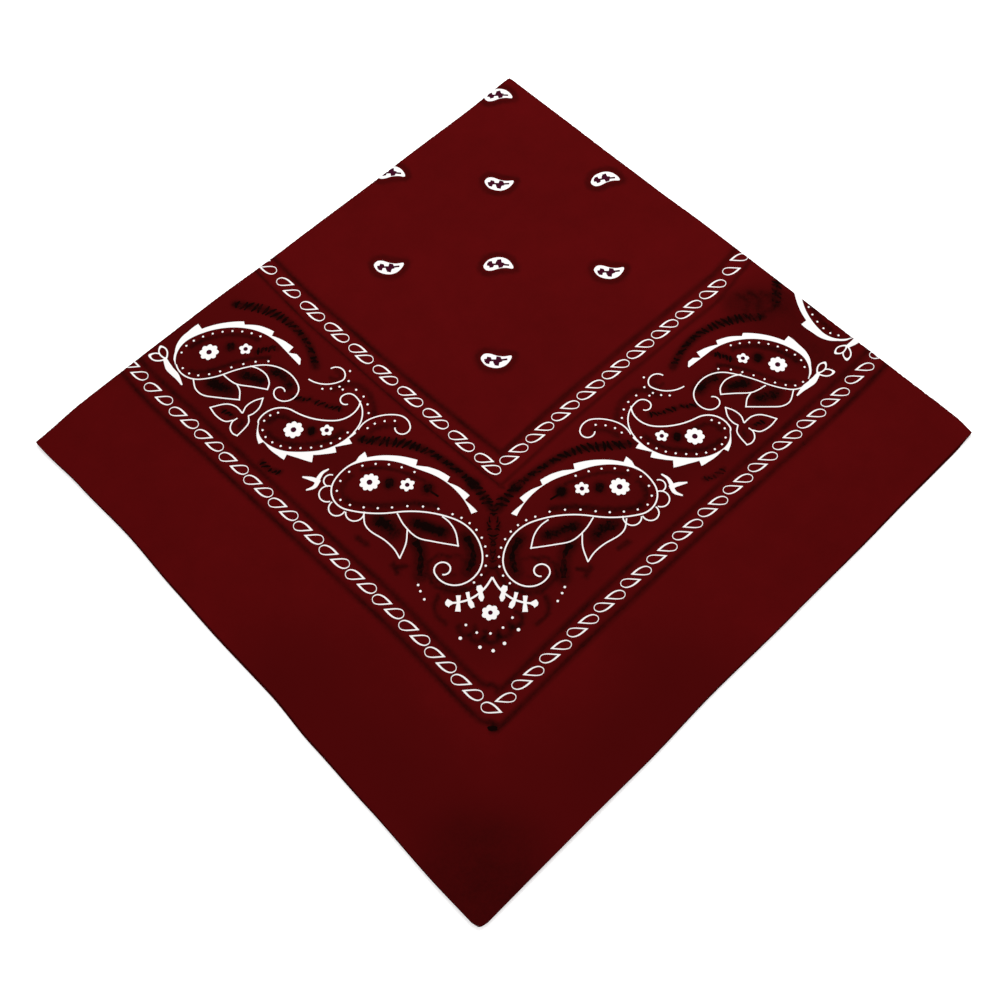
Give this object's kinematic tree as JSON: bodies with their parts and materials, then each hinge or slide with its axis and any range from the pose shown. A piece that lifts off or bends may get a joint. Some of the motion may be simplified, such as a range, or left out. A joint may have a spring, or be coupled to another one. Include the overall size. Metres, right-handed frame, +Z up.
{
  "type": "bandana",
  "caption": "Square cotton bandana with a paisley border print, folded into a quarter and lying flat.",
  "frame": {"origin": "middle of the flat underside", "axes": "+Z up; the four free corners of the cloth lie together at -X -Y and the cloth's own middle is the folded corner at +X +Y, so the free edges face -X and -Y and the folds face +X and +Y"},
  "size_m": [0.2798, 0.2742, 0.0041],
  "materials": {
    "printed_cotton": "matte plain-weave cotton, dark red with a white and black print",
    "cotton_reverse": "matte plain-weave cotton, dark red"
  },
  "bodies": {
    "root": {"top_layer": "printed_cotton", "hidden_layers": "cotton_reverse"}
  },
  "joints": []
}
